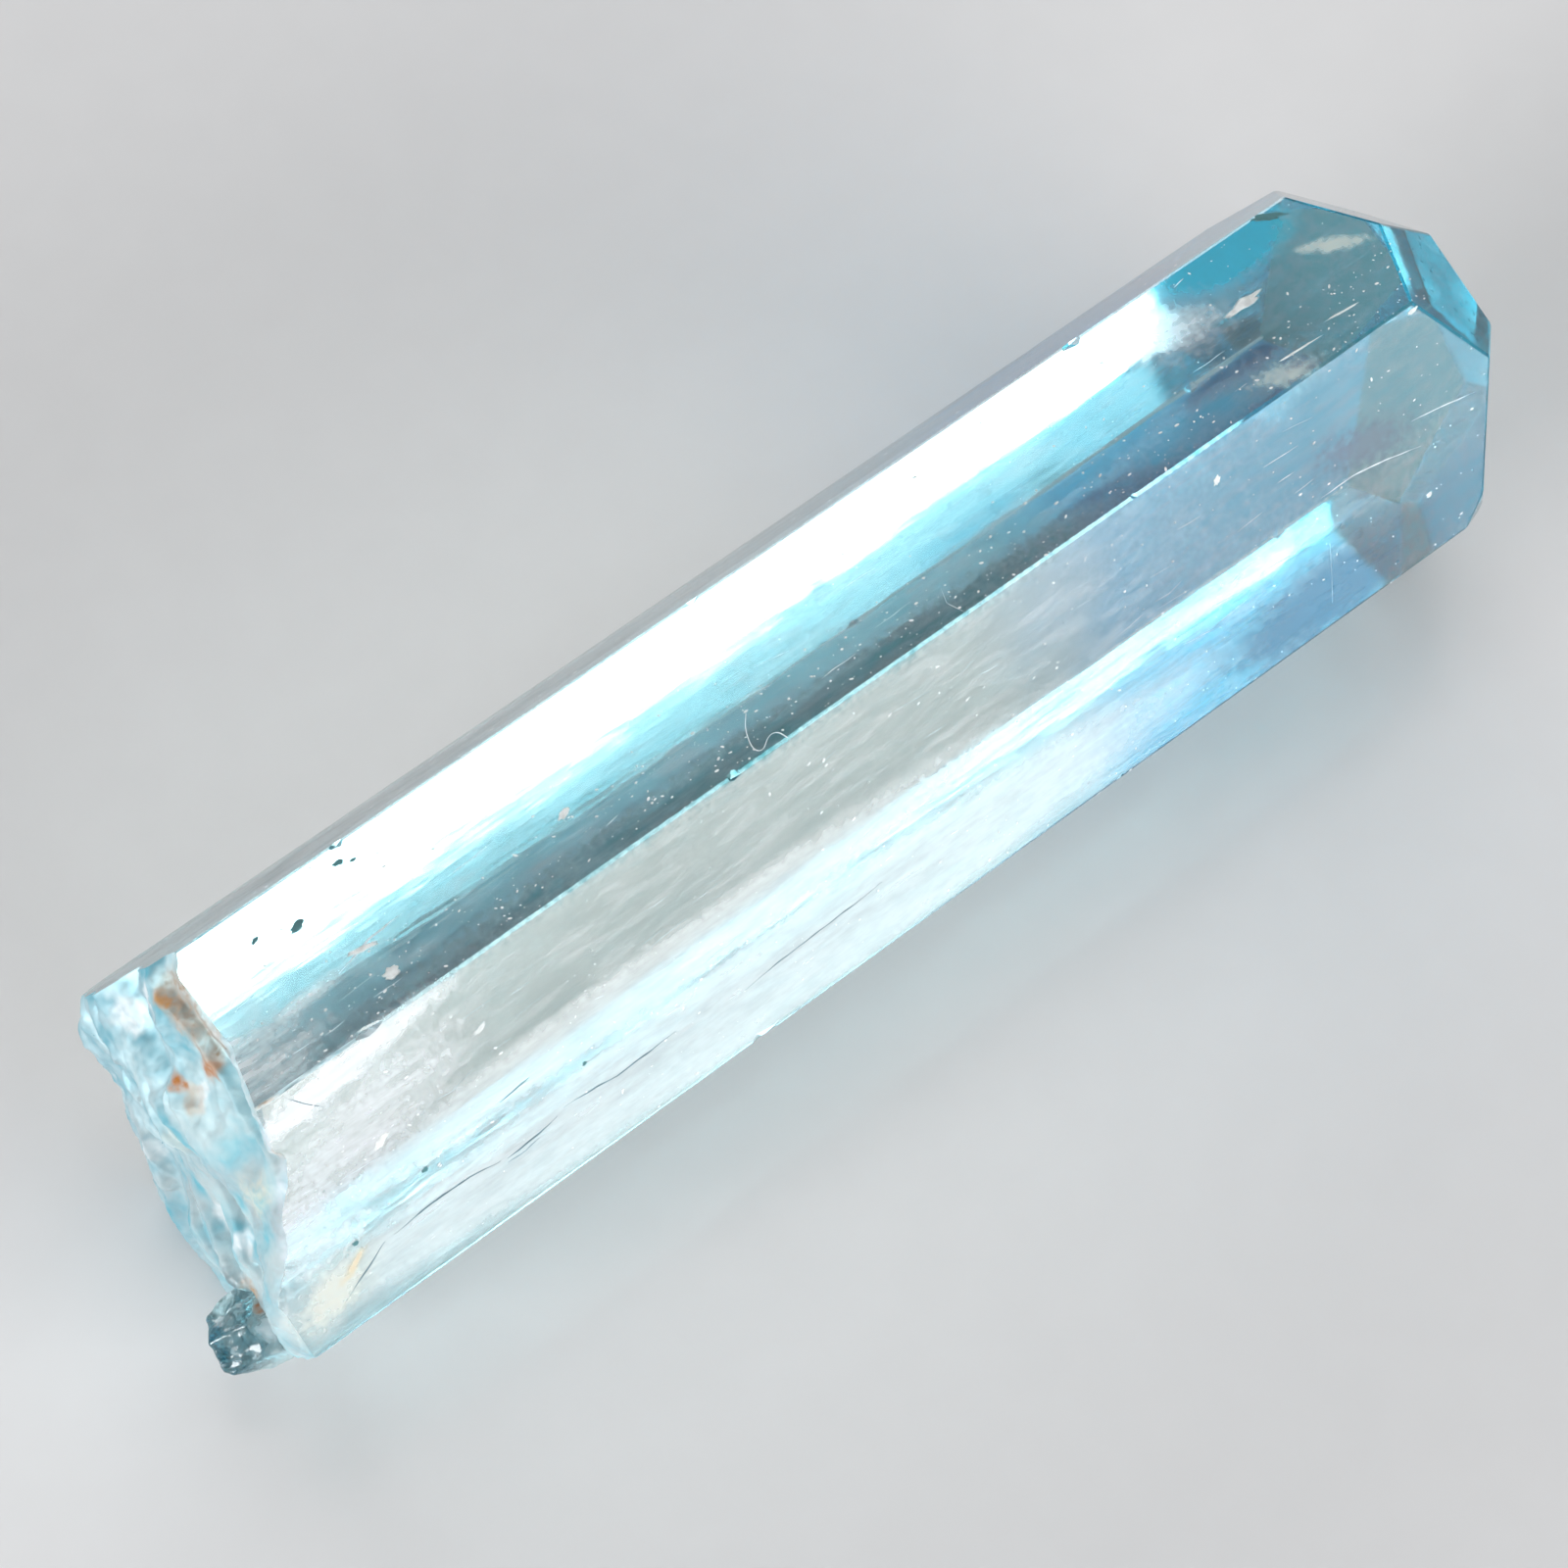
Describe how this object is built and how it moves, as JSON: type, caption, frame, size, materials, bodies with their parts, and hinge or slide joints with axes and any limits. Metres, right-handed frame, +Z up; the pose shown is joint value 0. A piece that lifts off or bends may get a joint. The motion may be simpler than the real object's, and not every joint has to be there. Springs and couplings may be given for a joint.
{
  "type": "aquamarine crystal",
  "caption": "Clear pale blue beryl crystal: a six-sided prism with a faceted, flat-tipped grown end and a rough stepped break at the root, lying on a prism face.",
  "frame": {"origin": "on the surface that the crystal lies on, under the middle of its bounding box", "axes": "+X along the crystal's long axis from the broken root to the grown end, +Z up, square to the prism face on top and to the one it lies on"},
  "size_m": [0.03, 0.0078, 0.0079],
  "materials": {
    "aquamarine": "clear natural crystal faces, glassy and finely scratched, with a rough stained break at the root"
  },
  "bodies": {
    "root": {"aquamarine_crystal": "aquamarine"}
  },
  "joints": []
}
